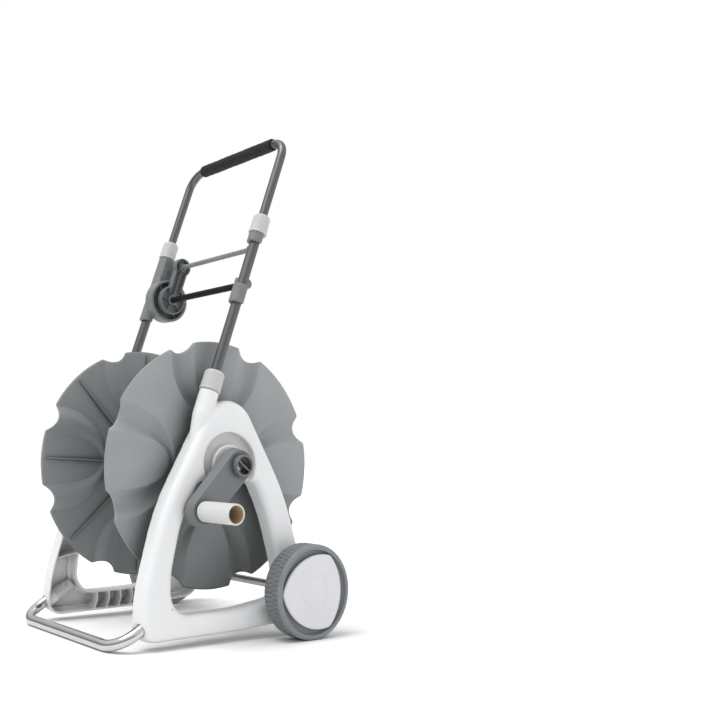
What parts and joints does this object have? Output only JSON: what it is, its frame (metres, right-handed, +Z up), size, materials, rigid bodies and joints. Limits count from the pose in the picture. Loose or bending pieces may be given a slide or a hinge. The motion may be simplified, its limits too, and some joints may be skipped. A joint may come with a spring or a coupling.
{
  "type": "garden hose reel cart",
  "caption": "Two-wheeled garden hose reel cart with moulded A-shaped side frames, a cranked drum with petal flanges, a hose guide and a telescopic handle.",
  "frame": {"origin": "on the floor, at the middle of the footprint of the whole cart at rest", "axes": "+Z up; +X towards the crank side, along the reel's axle; +Y towards the wheels, the way the handle leans"},
  "size_m": [0.52, 0.442, 0.904],
  "materials": {
    "frame_white": "satin white moulded polypropylene",
    "collar_white": "fine satin white",
    "cover_white": "smooth white",
    "knob_white": "smooth warm white",
    "plug_clear": "pale milky plastic",
    "reel_grey": "satin grey",
    "arm_grey": "satin grey",
    "wheel_grey": "satin grey",
    "guide_grey": "satin grey",
    "lever_grey": "satin light grey",
    "rod_black": "black coated",
    "foam_black": "foam",
    "tube_chrome": "bright chrome plate",
    "handle_metal": "polished",
    "axle_steel": "zinc plated",
    "screw_steel": "zinc plated",
    "bearing_plastic": "natural acetal",
    "shaft_plastic": "glass-filled nylon",
    "fitting_white": "satin white",
    "seal_rubber": "black rubber"
  },
  "bodies": {
    "cart": {"side_frame_right": "frame_white", "side_frame_left": "frame_white", "foot_tube": "tube_chrome", "foot_plug_right": "plug_clear", "foot_plug_left": "plug_clear", "axle_rod": "axle_steel", "axle_clip_right": "axle_steel", "axle_clip_left": "axle_steel", "lower_tube_right": "handle_metal", "lower_tube_left": "handle_metal", "socket_screws": "screw_steel", "hub_bush_right": "bearing_plastic", "hub_bush_left": "bearing_plastic", "guide_bracket": "guide_grey", "bracket_screw": "screw_steel", "rod_clip": "guide_grey", "collar_shell": "guide_grey", "guide_rod": "rod_black"},
    "reel": {"flange_right": "reel_grey", "flange_left": "reel_grey", "drum": "reel_grey", "crank_shaft": "shaft_plastic", "water_pipe": "shaft_plastic", "pipe_seal": "seal_rubber", "feed_pipe": "shaft_plastic", "outlet_nipple": "fitting_white", "flange_screws": "screw_steel", "crank_arm": "arm_grey", "crank_screw": "screw_steel", "hub_cap": "arm_grey", "knob_pin": "bearing_plastic"},
    "crank_knob": {"knob": "knob_white"},
    "inlet": {"inlet_elbow": "fitting_white"},
    "right_wheel": {"wheel_right": "wheel_grey", "wheel_cover_right": "cover_white"},
    "left_wheel": {"wheel_left": "wheel_grey", "wheel_cover_left": "cover_white"},
    "upper_handle": {"handle_tube": "handle_metal", "grip": "foam_black", "tube_plug_right": "bearing_plastic", "tube_plug_left": "bearing_plastic"},
    "collar_lower_right": {"lower_collar_right": "collar_white"},
    "collar_lower_left": {"lower_collar_left": "collar_white"},
    "collar_upper_right": {"upper_collar_right": "collar_white"},
    "collar_upper_left": {"upper_collar_left": "collar_white"},
    "hose_guide": {"guide_lever_left": "lever_grey", "guide_lever_right": "guide_grey", "guide_bar": "guide_grey"}
  },
  "joints": [
    {"name": "reel_spin", "type": "hinge", "parent": "cart", "child": "reel", "pos_m": [-0.02, 0.006, 0.295], "axis": [1, 0, 0], "continuous": true},
    {"name": "knob_spin", "type": "hinge", "parent": "reel", "child": "crank_knob", "pos_m": [0.218, -0.067, 0.2205], "axis": [1, 0, 0], "continuous": true},
    {"name": "inlet_swivel", "type": "hinge", "parent": "cart", "child": "inlet", "pos_m": [-0.2, 0.006, 0.295], "axis": [1, 0, 0], "range_deg": [-120, 120]},
    {"name": "right_wheel_spin", "type": "hinge", "parent": "cart", "child": "right_wheel", "pos_m": [0.198, 0.136, 0.081], "axis": [1, 0, 0], "continuous": true},
    {"name": "left_wheel_spin", "type": "hinge", "parent": "cart", "child": "left_wheel", "pos_m": [-0.238, 0.136, 0.081], "axis": [1, 0, 0], "continuous": true},
    {"name": "handle_slide", "type": "slide", "parent": "cart", "child": "upper_handle", "axis": [0, 0.3346, 0.9423], "range_m": [-0.12, 0]},
    {"name": "lower_collar_right_twist", "type": "hinge", "parent": "cart", "child": "collar_lower_right", "pos_m": [0.126, -0.01766, 0.43777], "axis": [0, 0.3346, 0.9423], "range_deg": [0, 90]},
    {"name": "upper_collar_right_twist", "type": "hinge", "parent": "cart", "child": "collar_upper_right", "pos_m": [0.126, 0.08373, 0.7233], "axis": [0, 0.3346, 0.9423], "range_deg": [0, 90]},
    {"name": "lower_collar_left_twist", "type": "hinge", "parent": "cart", "child": "collar_lower_left", "pos_m": [-0.166, -0.01766, 0.43777], "axis": [0, 0.3346, 0.9423], "range_deg": [0, 90]},
    {"name": "upper_collar_left_twist", "type": "hinge", "parent": "cart", "child": "collar_upper_left", "pos_m": [-0.166, 0.08373, 0.7233], "axis": [0, 0.3346, 0.9423], "range_deg": [0, 90]},
    {"name": "guide_swing", "type": "hinge", "parent": "cart", "child": "hose_guide", "pos_m": [-0.02, 0.06395, 0.61678], "axis": [1, 0, 0], "range_deg": [-100, 30]}
  ]
}
